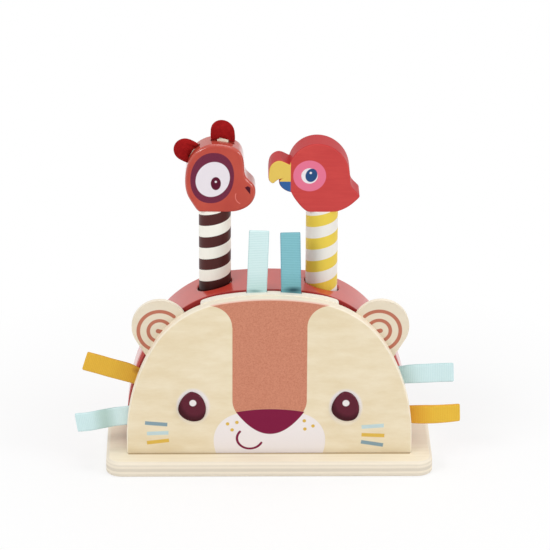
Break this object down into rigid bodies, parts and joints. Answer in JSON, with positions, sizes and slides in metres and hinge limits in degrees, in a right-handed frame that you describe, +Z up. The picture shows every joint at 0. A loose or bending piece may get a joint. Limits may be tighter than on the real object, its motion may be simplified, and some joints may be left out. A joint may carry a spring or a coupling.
{
  "type": "pop up animal toy",
  "caption": "Pop up toy for a baby: a wooden lion face in front of a plastic housing, ribbon loops, and striped pegs with animal heads that stand in sprung wells.",
  "frame": {"origin": "middle of the base plate's underside, on the surface that the toy stands on", "axes": "+Z up, +X to the right seen from the lion face's side, +Y from the lion face to the back"},
  "size_m": [0.292, 0.0918, 0.2664],
  "materials": {
    "birch_ply": "satin",
    "cream_board": "satin",
    "eye_gloss": "gloss",
    "housing_red": "gloss",
    "inner_plastic": "satin",
    "steel": "satin",
    "dowel_wood": "bare",
    "lemur_stripes": "satin lacquer",
    "lemur_paint": "gloss lacquer",
    "lemur_ear_cloth": "felt",
    "parrot_stripes": "satin lacquer",
    "parrot_paint": "satin lacquer",
    "ribbon_pale_blue": "grosgrain",
    "ribbon_teal": "grosgrain",
    "ribbon_yellow": "grosgrain",
    "ribbon_mint": "grosgrain"
  },
  "bodies": {
    "root": {"base_plate": "birch_ply", "front_panel": "cream_board", "spacer_plate": "cream_board", "left_ear": "cream_board", "right_ear": "cream_board", "left_eye": "eye_gloss", "right_eye": "eye_gloss", "housing": "housing_red", "left_guide_tube": "inner_plastic", "right_guide_tube": "inner_plastic", "left_spring_seat": "inner_plastic", "right_spring_seat": "inner_plastic", "base_screws": "steel", "panel_screws": "steel", "ribbon_staples": "steel", "ribbon_top_left": "ribbon_pale_blue", "ribbon_top_right": "ribbon_teal", "ribbon_upper_left": "ribbon_yellow", "ribbon_lower_left": "ribbon_mint", "ribbon_upper_right": "ribbon_mint", "ribbon_lower_right": "ribbon_yellow"},
    "lemur_spring": {"left_spring": "steel"},
    "lemur_plunger": {"left_plunger": "inner_plastic"},
    "lemur": {"lemur_peg": "lemur_stripes", "lemur_dowel": "dowel_wood", "lemur_head": "lemur_paint", "lemur_front_ear": "lemur_ear_cloth", "lemur_rear_ear": "lemur_ear_cloth"},
    "parrot_spring": {"right_spring": "steel"},
    "parrot_plunger": {"right_plunger": "inner_plastic"},
    "parrot": {"parrot_peg": "parrot_stripes", "parrot_dowel": "dowel_wood", "parrot_head": "parrot_paint"}
  },
  "joints": [
    {"name": "lemur_turn", "type": "hinge", "parent": "root", "child": "lemur_spring", "pos_m": [-0.0408, 0.00985, 0.11], "axis": [0, 0, 1], "continuous": true},
    {"name": "lemur_press", "type": "slide", "parent": "lemur_spring", "child": "lemur_plunger", "axis": [0, 0, 1], "range_m": [-0.04, 0], "stiffness_N_per_m": 150, "springref_m": 0.02, "deforming": ["left_spring"]},
    {"name": "lemur_lift", "type": "slide", "parent": "lemur_plunger", "child": "lemur", "axis": [0, 0, 1], "range_m": [0, 0.1]},
    {"name": "parrot_turn", "type": "hinge", "parent": "root", "child": "parrot_spring", "pos_m": [0.0392, 0.00985, 0.11], "axis": [0, 0, 1], "continuous": true},
    {"name": "parrot_press", "type": "slide", "parent": "parrot_spring", "child": "parrot_plunger", "axis": [0, 0, 1], "range_m": [-0.04, 0], "stiffness_N_per_m": 150, "springref_m": 0.02, "deforming": ["right_spring"]},
    {"name": "parrot_lift", "type": "slide", "parent": "parrot_plunger", "child": "parrot", "axis": [0, 0, 1], "range_m": [0, 0.1]}
  ]
}
